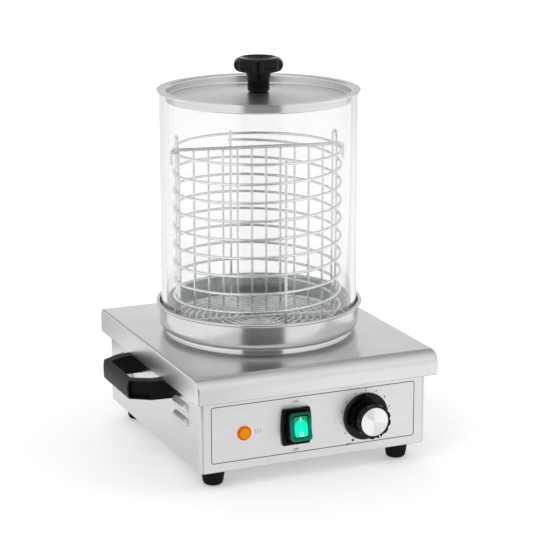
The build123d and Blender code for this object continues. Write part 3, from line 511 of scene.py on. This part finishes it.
ORANGE, RED_ORANGE, YELLOW = (0.82, 0.27, 0.0), (0.72, 0.075, 0.0), (0.85, 0.34, 0.0)
GREEN, DEEP_GREEN = (0.0, 0.80, 0.42), (0.0, 0.22, 0.10)
TEAL, DEEP_TEAL = (0.0, 0.20, 0.14), (0.0, 0.10, 0.07)
lamp_stops = (0.0, ORANGE), (0.66, ORANGE), (0.76, RED_ORANGE), (0.88, RED_ORANGE), (1.0, YELLOW)
lamp_orange = lit_plastic("Pilot lamp lens", lamp, 7.6 * MM, lamp_stops, 0.30, shine=0.1)
green_stops = (0.0, GREEN), (0.62, GREEN), (1.0, DEEP_GREEN)
switch_green = lit_plastic("Lit rocker lens", switch, 11.5 * MM, green_stops, 0.85, 1.3, shine=0.15)
teal_stops = (0.0, TEAL), (0.8, TEAL), (1.0, DEEP_TEAL)
switch_teal = lit_plastic("Rocker frame", switch, 15.0 * MM, teal_stops, 0.15, shine=0.15)
cover_node("lamp_lens", lamp_orange)
cover_node("rocker_lens", switch_green)
cover_node("rocker_frame", switch_teal)
print("lamp and switch glow")

# %% [markdown]
# The dial's cap is aluminium that was faced on a lathe. Such a face shows light and dark
# wedges that meet at its centre, because its rings mirror the room. Here the wedges are a painted
# reflection in the base colour, drawn from the angle round the cap's centre; the rings only change
# the roughness, with the distance.

# %% Faced aluminium cap
cap_metal, tree, shader = material("Faced aluminium", (0.86, 0.86, 0.86), 0.32, 1.0)
offset = add(tree, "ShaderNodeVectorMath", operation="SUBTRACT")
tree.links.new(add(tree, "ShaderNodeTexCoord").outputs["Object"], offset.inputs[0])
offset.inputs[1].default_value = dial
parts = add(tree, "ShaderNodeSeparateXYZ")
tree.links.new(offset.outputs[0], parts.inputs[0])
turn = math(tree, "ARCTAN2", parts.outputs[2], parts.outputs[0])
# Painted reflection: light and dark wedges in the base colour, by the angle round the cap's centre.
painted_reflection_wedges = math(tree, "ADD", math(tree, "SINE", math(tree, "MULTIPLY_ADD", turn, 2.0, 0.6)),
              math(tree, "MULTIPLY", math(tree, "SINE", math(tree, "MULTIPLY", turn, 5.0)), 0.35))
tree.links.new(ramp(tree, math(tree, "MULTIPLY_ADD", painted_reflection_wedges, 0.35, 0.5), (0.1, 0.68), (0.6, 0.88)),
               shader.inputs["Base Color"])
ring_marks = math(tree, "SINE", math(tree, "MULTIPLY", distance_on_panel(tree, dial), 9000.0))
tree.links.new(spread(tree, ring_marks, 0.30, 0.42), shader.inputs["Roughness"])
cover_node("dial_cap", cap_metal)
print("cap done")


# %% [markdown]
# The basket's wall and floor are one long wire: it comes down clockwise in more than eight
# turns, drops inward at the right, and goes on as a flat spiral. In CAD it is made of short
# straight lengths. Here a curve with many more points follows the same path and is given the
# wire's thickness, which is the quickest way to a smooth round wire in Blender.

# %% Basket wire
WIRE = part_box("basket_ring")[1].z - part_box("basket_ring")[0].z
COIL_RADIUS = (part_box("basket_ring")[1].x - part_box("basket_ring")[0].x) / 2 - WIRE / 2
PLATE_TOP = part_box("top_cover")[1].z
COIL_START = radians(88)
COIL_TOP = PLATE_TOP + 179.5 * MM
COIL_PITCH = 18.4 * MM
COIL_LEAN = 1.6 * MM
COIL_TURNS = 8 + 1 / 3
DROP_TURN = radians(60)
FLOOR_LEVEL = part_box("basket_floor")[0].z + WIRE / 2
FLOOR_OUTER = 78.2 * MM
FLOOR_INNER = 9.0 * MM
FLOOR_PITCH = 6.8 * MM


def coil_level(turned_by):
    """Height of the coil after turning by an angle from its start."""
    return COIL_TOP - COIL_PITCH * turned_by / (2 * pi) + COIL_LEAN * sin(COIL_START - turned_by)


def smooth(share):
    """Eases 0..1 in and out, so that a drop has no kink at its ends."""
    return share * share * (3 - 2 * share)


def wire_place(turned_by):
    """Point of the wire's centre line after turning by an angle from its start."""
    wall_turn = 2 * pi * COIL_TURNS
    if turned_by <= wall_turn:
        radius, level = COIL_RADIUS, coil_level(turned_by)
    elif turned_by <= wall_turn + DROP_TURN:
        share = smooth((turned_by - wall_turn) / DROP_TURN)
        radius = COIL_RADIUS + (FLOOR_OUTER - COIL_RADIUS) * share
        level = coil_level(wall_turn) + (FLOOR_LEVEL - coil_level(wall_turn)) * share
    else:
        radius = FLOOR_OUTER - FLOOR_PITCH * (turned_by - wall_turn - DROP_TURN) / (2 * pi)
        level = FLOOR_LEVEL
    angle = COIL_START - turned_by
    return Vector((basket_axis.x + radius * cos(angle), basket_axis.y + radius * sin(angle), level))


def settle(piece, body, made=None):
    """Puts a finished piece's place into its mesh, names its material and rides it on a body."""
    bpy.ops.object.select_all(action="DESELECT")
    piece.select_set(True)
    bpy.context.view_layer.objects.active = piece
    bpy.ops.object.transform_apply(location=True, rotation=True, scale=True)
    if made is not None:
        piece.data.materials.clear()
        piece.data.materials.append(made)
    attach(piece, body)
    return piece


def round_wire(name, points, thickness, sides=3):
    """A closed tube mesh along the points."""
    curve = bpy.data.curves.new(name, "CURVE")
    curve.dimensions = "3D"
    curve.bevel_depth = thickness / 2
    curve.bevel_resolution = sides
    curve.use_fill_caps = True
    run = curve.splines.new("POLY")
    run.points.add(len(points) - 1)
    for point, place in zip(run.points, points):
        point.co = (*place, 1)
    piece = bpy.data.objects.new(name, curve)
    bpy.context.collection.objects.link(piece)
    bpy.ops.object.select_all(action="DESELECT")
    piece.select_set(True)
    bpy.context.view_layer.objects.active = piece
    bpy.ops.object.convert(target="MESH")
    bpy.ops.object.shade_smooth_by_angle(angle=radians(50))
    return bpy.context.object


floor_turns = (FLOOR_OUTER - FLOOR_INNER) / FLOOR_PITCH
whole_turn = 2 * pi * (COIL_TURNS + floor_turns) + DROP_TURN
STEPS = 1100
wire_places = [wire_place(whole_turn * step / STEPS) for step in range(STEPS + 1)]
wire = round_wire("basket_wire", wire_places, WIRE)
settle(wire, "basket", wire_steel)
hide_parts("basket_coil", "basket_floor")
print("basket wire:", len(wire.data.polygons), "faces")

# %% [markdown]
# Wherever two basket wires cross they were spot-welded, which squeezes out a small bright bead.
# A bead is set at each crossing: the six uprights against every turn of the coil, and two spokes
# of the floor's cross against every turn of the spiral. How far the wire has turned at each
# crossing comes from the upright's angle, so the beads follow the wire's own formula.

# %% Weld beads
BEAD = 1.25 * MM
UPRIGHT_RADIUS = COIL_RADIUS - WIRE / 2
HAIRPIN_HALF = 7.0 * MM
HAIRPIN_TURN = radians(-11)
CROSS_ANGLES = [radians(87), radians(-93)]


def passes(angle, first_turn, end):
    """How far the wire has turned each time it passes an angle, from a turn up to an end."""
    turned_by = (COIL_START - angle) % (2 * pi) + 2 * pi * first_turn
    while turned_by < end:
        yield turned_by
        turned_by += 2 * pi


side_turn = atan2(HAIRPIN_HALF, UPRIGHT_RADIUS)
upright_angles = [HAIRPIN_TURN + base + side * side_turn for base in (0, pi) for side in (-1, 1)]
bead_places = []
for angle in upright_angles + CROSS_ANGLES:
    x = basket_axis.x + UPRIGHT_RADIUS * cos(angle)
    y = basket_axis.y + UPRIGHT_RADIUS * sin(angle)
    for turned_by in passes(angle, 0, 2 * pi * COIL_TURNS):
        bead_places.append(Vector((x, y, coil_level(turned_by))))
for angle in CROSS_ANGLES:
    for turned_by in passes(angle, ceil(COIL_TURNS), whole_turn):
        bead_places.append(wire_place(turned_by) - Vector((0, 0, WIRE / 2)))


def beads(name, places, radius, flat=0.7):
    """Small rounded beads, one mesh for all."""
    bpy.ops.object.select_all(action="DESELECT")
    copies = []
    for place in places:
        bpy.ops.mesh.primitive_uv_sphere_add(segments=10, ring_count=6, radius=radius, location=place)
        bpy.context.object.scale = (1, 1, flat)
        copies.append(bpy.context.object)
    for copy in copies:
        copy.select_set(True)
    bpy.context.view_layer.objects.active = copies[0]
    bpy.ops.object.join()
    bpy.ops.object.shade_smooth()
    piece = bpy.context.object
    piece.name = name
    return piece


settle(beads("basket_weld_beads", bead_places, BEAD), "basket", wire_steel)
print(len(bead_places), "weld beads")

# %% [markdown]
# The divider's upright wires end against its top bar and its foot rod. They stand in one
# straight row, so the first and last come from the box round all of them, and the rest are
# spaced evenly between.

# %% Divider beads
WIRE_COUNT = 12
HALF_UPRIGHT = 1.2 * MM
BEAD_OVERLAP = 1.0 * MM
DIVIDER_BEAD = 1.55 * MM
low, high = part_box("divider_wires")
first = Vector((low.x + HALF_UPRIGHT, high.y - HALF_UPRIGHT, 0))
last = Vector((high.x - HALF_UPRIGHT, low.y + HALF_UPRIGHT, 0))
divider_beads = []
for index in range(WIRE_COUNT):
    place = first.lerp(last, index / (WIRE_COUNT - 1))
    divider_beads.append(Vector((place.x, place.y, high.z - BEAD_OVERLAP)))
    divider_beads.append(Vector((place.x, place.y, middle("divider_foot").z + BEAD_OVERLAP)))
settle(beads("divider_weld_beads", divider_beads, DIVIDER_BEAD, 0.8), "divider", wire_steel)
print(len(divider_beads), "beads on the divider")

# %% [markdown]
# The front panel is screen-printed in blue: a thin frame with rounded corners, the words beside
# the switch, a heat sign beside the lamp, and the marks round the dial. Ink has no thickness to
# speak of, so each mark is a flat mesh that lies a few hundredths of a millimetre proud. The
# helpers below make a flat shape on the floor, stand it up on the panel and ink it.

# %% Ink
ink, tree, shader = material("Blue screen ink", (0.035, 0.10, 0.27), 0.45)
worn_ink = place_group(tree, patches, Size=420.0)
full_ink, thin_ink = (0.028, 0.085, 0.24), (0.06, 0.14, 0.32)
tree.links.new(ramp(tree, worn_ink.outputs[0], (0.3, full_ink), (0.7, thin_ink)),
               shader.inputs["Base Color"])
white_ink, tree, shader = material("White pad ink", (0.85, 0.87, 0.86), 0.4)
worn_ink = place_group(tree, patches, Size=420.0)
tree.links.new(ramp(tree, worn_ink.outputs[0], (0.3, 0.78), (0.7, 0.9)), shader.inputs["Base Color"])
shader.inputs["Emission Color"].default_value = (0.8, 1.0, 0.9, 1)
shader.inputs["Emission Strength"].default_value = 0.25
INK_PROUD = 0.04 * MM
ON_PANEL = Matrix.Rotation(pi / 2, 4, "X")
CAPITAL_SHARE = 0.73  # a capital's height as a share of Blender's text size
LETTER_BOLD = 0.06 * MM


def on_panel(x, z):
    """Matrix that stands a flat shape up on the panel's face."""
    return Matrix.Translation((x, panel_y - INK_PROUD, z)) @ ON_PANEL


def active_mesh(name):
    """Names the object that an operator has just made and hands it back."""
    piece = bpy.context.object
    piece.name = name
    return piece


def flat_ring(name, outer, inner):
    """A flat ring, or a disc when inner is 0, lying on the floor."""
    bpy.ops.object.select_all(action="DESELECT")
    bpy.ops.mesh.primitive_circle_add(vertices=40, radius=outer, fill_type="NGON")
    if inner > 0:
        bpy.ops.object.mode_set(mode="EDIT")
        bpy.ops.mesh.inset(thickness=outer - inner)
        bpy.ops.mesh.delete(type="FACE")
        bpy.ops.object.mode_set(mode="OBJECT")
    return active_mesh(name)


def printed(piece, matrix, made=ink, body="base"):
    """Stands a flat shape up at a place, inks it and settles it."""
    bpy.context.view_layer.update()
    piece.matrix_world = matrix @ piece.matrix_world
    return settle(piece, body, made)


def word(text, x, z, height):
    """A word, centred on a place of the panel."""
    bpy.ops.object.select_all(action="DESELECT")
    bpy.ops.object.text_add()
    letters = bpy.context.object
    letters.data.body = text
    letters.data.size = height / CAPITAL_SHARE
    letters.data.align_x = "CENTER"
    letters.data.align_y = "CENTER"
    letters.data.resolution_u = 4
    letters.data.offset = LETTER_BOLD
    bpy.ops.object.convert(target="MESH")
    return printed(active_mesh("print_" + text.lower()), on_panel(x, z))


print("two inks ready")


# %% [markdown]
# The printed frame is a plane with rounded corners. Bevelling its four corners in vertex mode
# rounds them, and an inset by the line's width leaves the middle selected, ready to delete.

# %% Printed frame
FRAME_LEFT, FRAME_RIGHT = -109.7 * MM, 108.4 * MM
FRAME_LOW, FRAME_HIGH = 8.7 * MM, 66.1 * MM
FRAME_CORNER = 2.6 * MM
LINE = 0.85 * MM
BODY_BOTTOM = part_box("housing")[0].z
frame_size = (FRAME_RIGHT - FRAME_LEFT, FRAME_HIGH - FRAME_LOW)
bpy.ops.object.select_all(action="DESELECT")
bpy.ops.mesh.primitive_plane_add(size=1)
border = active_mesh("printed_frame")
border.scale = (frame_size[0], frame_size[1], 1)
bpy.ops.object.transform_apply(scale=True)
bpy.ops.object.mode_set(mode="EDIT")
bpy.ops.mesh.select_all(action="SELECT")
bpy.ops.mesh.bevel(offset=FRAME_CORNER, segments=6, affect="VERTICES")
bpy.ops.mesh.select_all(action="SELECT")
bpy.ops.mesh.inset(thickness=LINE)
bpy.ops.mesh.delete(type="FACE")
bpy.ops.object.mode_set(mode="OBJECT")
frame_x = (FRAME_LEFT + FRAME_RIGHT) / 2
frame_z = BODY_BOTTOM + (FRAME_LOW + FRAME_HIGH) / 2
printed(border, on_panel(frame_x, frame_z))
print("frame of", len(border.data.polygons), "faces")

# %% [markdown]
# The words stand above and below the switch. The dial has a big dot where it is off, then small
# dots and numbers by turns, all on one circle round its centre and 25 degrees apart.

# %% Words and dial marks
CONTROL_LEVEL = dial.z
WORD_HEIGHT, NUMBER_HEIGHT, DIAL_OFF_HEIGHT = 2.7 * MM, 2.8 * MM, 2.5 * MM
ON_LEVEL, OFF_LEVEL = 61.3 * MM, 11.9 * MM
MARK_RADIUS = 26.9 * MM
OFF_DOT, DOT = 1.45 * MM, 0.8 * MM
OFF_ANGLE = 210
HALF_STEP = 25
DIAL_OFF_OUT = 6.0 * MM
DIAL_OFF_SHIFT = (-2.0 * MM, 1.4 * MM)
word("ON", switch.x, BODY_BOTTOM + ON_LEVEL, WORD_HEIGHT)
word("OFF", switch.x, BODY_BOTTOM + OFF_LEVEL, WORD_HEIGHT)


def dial_place(angle, radius=MARK_RADIUS):
    """Place on the panel at a clock angle from the top of the dial."""
    return dial.x + radius * sin(radians(angle)), CONTROL_LEVEL + radius * cos(radians(angle))


for step in range(13):
    angle = OFF_ANGLE + HALF_STEP * step
    x, z = dial_place(angle)
    if step == 0:
        printed(flat_ring("mark_off", OFF_DOT, 0), on_panel(x, z))
    elif step % 2:
        printed(flat_ring(f"mark_{step}", DOT, 0), on_panel(x, z))
    else:
        word(str(step // 2), x, z, NUMBER_HEIGHT)
x, z = dial_place(OFF_ANGLE, MARK_RADIUS + DIAL_OFF_OUT)
word("OFF", x + DIAL_OFF_SHIFT[0], z + DIAL_OFF_SHIFT[1], DIAL_OFF_HEIGHT)
print("dial marked in", HALF_STEP, "degree steps")

# %% [markdown]
# Beside the lamp stands a heat sign of three rising waves. Each wave is a thin tube along a sine
# curve, squeezed nearly flat against the panel.

# %% Heat sign
HEAT_X = -60.9 * MM
WAVE_GAP, WAVE_SWAY, WAVE_STEP, WAVE_LINE = 2.6 * MM, 0.55 * MM, 0.62 * MM, 0.5 * MM
HALF_WAVE_STEPS = 4
FLATTENED = 0.2
for wave in (-1, 0, 1):
    points = []
    for step in range(-HALF_WAVE_STEPS, HALF_WAVE_STEPS + 1):
        x = HEAT_X + wave * WAVE_GAP - WAVE_SWAY * sin(step * pi / HALF_WAVE_STEPS)
        points.append((x, panel_y, CONTROL_LEVEL + step * WAVE_STEP))
    line = round_wire(f"heat_wave_{wave + 2}", points, WAVE_LINE, 1)
    line.scale.y = FLATTENED
    line.location.y = panel_y * (1 - FLATTENED)
    settle(line, "base", ink)
print("heat sign drawn")

# %% [markdown]
# The rocker carries a line for on and a ring for off. They sit on its lens, which leans back
# by twelve degrees when the top is pressed in, so they are placed in the rocker's own
# upright pose and then tilted with it about its pivot.

# %% Rocker marks
ROCKER_TILT = radians(-12)
PIVOT = Vector((switch.x, panel_y + 1.0 * MM, CONTROL_LEVEL))
LENS_FRONT = 14.2 * MM
HOLLOW = 1.0 * MM
HALF_LENGTH = 13.8 * MM
LENS_INK_PROUD = 0.07 * MM
STROKE_WIDTH, STROKE_LENGTH, STROKE_HEIGHT = 0.9 * MM, 4.4 * MM, 7.5 * MM
RING_OUTER, RING_INNER, RING_HEIGHT = 2.2 * MM, 1.4 * MM, -7.3 * MM


def on_rocker(height):
    """Matrix of a place on the lens, at a height above the pivot before the tilt."""
    reach = LENS_FRONT + HOLLOW * (height / HALF_LENGTH) ** 2 + LENS_INK_PROUD
    slope = 2 * HOLLOW * height / HALF_LENGTH**2
    tilt = Matrix.Translation(PIVOT) @ Matrix.Rotation(ROCKER_TILT, 4, "X")
    return tilt @ Matrix.Translation((0, -reach, height)) @ Matrix.Rotation(slope, 4, "X") @ ON_PANEL


bpy.ops.object.select_all(action="DESELECT")
bpy.ops.mesh.primitive_plane_add(size=1)
stroke = active_mesh("rocker_on_line")
stroke.scale = (STROKE_WIDTH, STROKE_LENGTH, 1)
printed(stroke, on_rocker(STROKE_HEIGHT), white_ink, "rocker")
off_ring = flat_ring("rocker_off_ring", RING_OUTER, RING_INNER)
printed(off_ring, on_rocker(RING_HEIGHT), white_ink, "rocker")
print("rocker marked")


# %% [markdown]
# The studio is a white floor under a white room. Polished steel shows the room more than itself,
# so what mirrored rays find is painted on the world. One dark gap in the walls, where the viewer
# stands, makes the upright dark band that tells the eye a round thing is made of steel. The
# ceiling is dimmer towards the back, which shades the bend between the cover's top and front.
# Rays that went through glass find the same gap, dimmer sides that draw the edges of the
# cylinder, and a dim ceiling. In the ramps below, away runs from 0 at the gap to 1 opposite it.

# %% Studio world
def mixed(tree, factor, first, second):
    """A colour mix; each colour is a grey number or a socket to link."""
    node = add(tree, "ShaderNodeMix", data_type="RGBA")
    tree.links.new(factor, node.inputs["Factor"])
    for socket, value in ((node.inputs[6], first), (node.inputs[7], second)):
        if isinstance(value, float):
            socket.default_value = (value, value, value, 1)
        else:
            tree.links.new(value, socket)
    return node.outputs[2]


CAMERA_ANGLE = atan2(CAMERA_PLACE[1], CAMERA_PLACE[0])
GAP_ANGLE = CAMERA_ANGLE + radians(4.5)
GAP_GREY, GAP_THROUGH_GLASS, SIDE_THROUGH_GLASS = 0.15, 0.17, 0.4
HIGH_THROUGH_GLASS = 0.35
ROOM_LIGHT = 0.62
world = bpy.data.worlds.new("studio")
world.use_nodes = True
bpy.context.scene.world = world
tree = world.node_tree
background = tree.nodes["Background"]
toward = add(tree, "ShaderNodeTexCoord").outputs["Generated"]
direction = add(tree, "ShaderNodeSeparateXYZ")
tree.links.new(toward, direction.inputs[0])
compass = math(tree, "ARCTAN2", direction.outputs[1], direction.outputs[0])
away = math(tree, "SUBTRACT", compass, GAP_ANGLE)
away = math(tree, "DIVIDE", math(tree, "ABSOLUTE", math(tree, "WRAP", away, pi, -pi)), pi)
to_camera = add(tree, "ShaderNodeVectorMath", operation="DOT_PRODUCT")
tree.links.new(toward, to_camera.inputs[0])
to_camera.inputs[1].default_value = (cos(CAMERA_ANGLE), sin(CAMERA_ANGLE), 0)
frontness = math(tree, "MULTIPLY_ADD", to_camera.outputs["Value"], 0.5, 0.5)

walls = ramp(tree, away, (0.0, 0.92), (1.0, 0.96))
ceiling = ramp(tree, frontness, (0.2, 0.42), (0.5, 0.72), (0.75, 1.0))
mirrored = mixed(tree, ramp(tree, direction.outputs[2], (0.29, 0.0), (0.345, 1.0)), walls, ceiling)
gap = math(tree, "MULTIPLY", ramp(tree, away, (0.13, 1.0), (0.145, 0.0)),
           ramp(tree, direction.outputs[2], (0.50, 1.0), (0.65, 0.0)))
mirrored = mixed(tree, gap, mirrored, GAP_GREY)
through = ramp(tree, away, (0.0, GAP_THROUGH_GLASS), (0.13, GAP_THROUGH_GLASS), (0.14, 1.0),
               (0.54, 1.0), (0.56, SIDE_THROUGH_GLASS), (0.66, SIDE_THROUGH_GLASS), (0.68, 1.0))
high = ramp(tree, direction.outputs[2], (0.26, 0.0), (0.34, 1.0))
through = mixed(tree, high, through, HIGH_THROUGH_GLASS)
rays = add(tree, "ShaderNodeLightPath")
shown = mixed(tree, rays.outputs["Is Glossy Ray"], ROOM_LIGHT, mirrored)
shown = mixed(tree, rays.outputs["Is Transmission Ray"], shown, through)
shown = mixed(tree, rays.outputs["Is Camera Ray"], shown, 1.0)
tree.links.new(shown, background.inputs[0])
print("studio world ready")


# %% [markdown]
# An upright steel wall, seen from a little above, mirrors the floor in front of it. So the dark
# band goes on down the tray and the lid only if the floor has a dark wedge below the gap in the
# room. Mirrored and refracted rays find that wedge and two paler ones behind the sides, and
# no others do: seen straight, the floor is white, keeps the object's soft shadow, and glows a
# little more with distance until it meets the white of the room. In the ramps below, reach is
# half the distance in metres from the middle of the floor, and bearing runs like away did.

# %% Floor
FLOOR_WHITE = 0.9
WEDGE_START = 0.215
MIRRORED_GLOW = 0.30

bpy.ops.object.select_all(action="DESELECT")
bpy.ops.mesh.primitive_plane_add(size=12, location=(0, 0, -0.5 * MM))
floor = active_mesh("floor")
white_floor, tree, shader = material("White floor", grey(FLOOR_WHITE), 0.7)
rays = add(tree, "ShaderNodeLightPath")
bounced = math(tree, "MAXIMUM", rays.outputs["Is Glossy Ray"], rays.outputs["Is Transmission Ray"])
place = add(tree, "ShaderNodeTexCoord").outputs["Object"]
spot = add(tree, "ShaderNodeVectorMath", operation="LENGTH")
tree.links.new(place, spot.inputs[0])
reach = math(tree, "MULTIPLY", spot.outputs["Value"], 0.5)
place_parts = add(tree, "ShaderNodeSeparateXYZ")
tree.links.new(place, place_parts.inputs[0])
bearing = math(tree, "ARCTAN2", place_parts.outputs[1], place_parts.outputs[0])
bearing = math(tree, "WRAP", math(tree, "SUBTRACT", bearing, GAP_ANGLE), pi, -pi)
bearing = math(tree, "DIVIDE", math(tree, "ABSOLUTE", bearing), pi)
covered = ramp(tree, bearing, (0.0, 1.0), (0.123, 1.0), (0.130, 0.0), (0.70, 0.0), (0.72, 0.65),
               (0.865, 0.65), (0.88, 0.0))
covered = math(tree, "MULTIPLY", covered, math(tree, "GREATER_THAN", reach, WEDGE_START))
covered = math(tree, "MULTIPLY", covered, bounced)
dark_floor = ramp(tree, reach, (WEDGE_START, 0.16), (0.7, 0.45))
tree.links.new(mixed(tree, covered, FLOOR_WHITE, dark_floor), shader.inputs["Base Color"])
far_glow = ramp(tree, reach, (0.3, 0.30), (0.9, 0.70))
near_glow = math(tree, "MULTIPLY", bounced, MIRRORED_GLOW)
glow = mixed(tree, rays.outputs["Is Camera Ray"], near_glow, far_glow)
glow = math(tree, "MULTIPLY", glow, math(tree, "SUBTRACT", 1.0, covered))
tree.links.new(glow, shader.inputs["Emission Strength"])
shader.inputs["Emission Color"].default_value = (1, 1, 1, 1)
shader.inputs["Specular IOR Level"].default_value = 0.0
floor.data.materials.append(white_floor)
print("floor laid")


# %% [markdown]
# Three big soft lamps give the mouldings, the ink and the floor their light and soft shadows:
# one high at the front left, one at the right and one behind.

# %% Lamps
LIT_PLACE = Vector((0, 0, 0.2))


def soft_box(name, place, size, power):
    """A square area lamp that faces the object and isn't mirrored as a shape."""
    bpy.ops.object.select_all(action="DESELECT")
    bpy.ops.object.light_add(type="AREA", location=place)
    box = bpy.context.object
    box.name = name
    box.data.size = size
    box.data.energy = power
    box.visible_glossy = False
    box.rotation_euler = (LIT_PLACE - Vector(place)).to_track_quat("-Z", "Y").to_euler()
    return box


soft_box("key_light", (-1.6, -1.2, 2.2), size=1.4, power=14)
soft_box("fill_light", (1.9, -0.9, 1.4), size=1.6, power=9)
soft_box("back_light", (0.4, 1.9, 1.8), size=1.6, power=9)
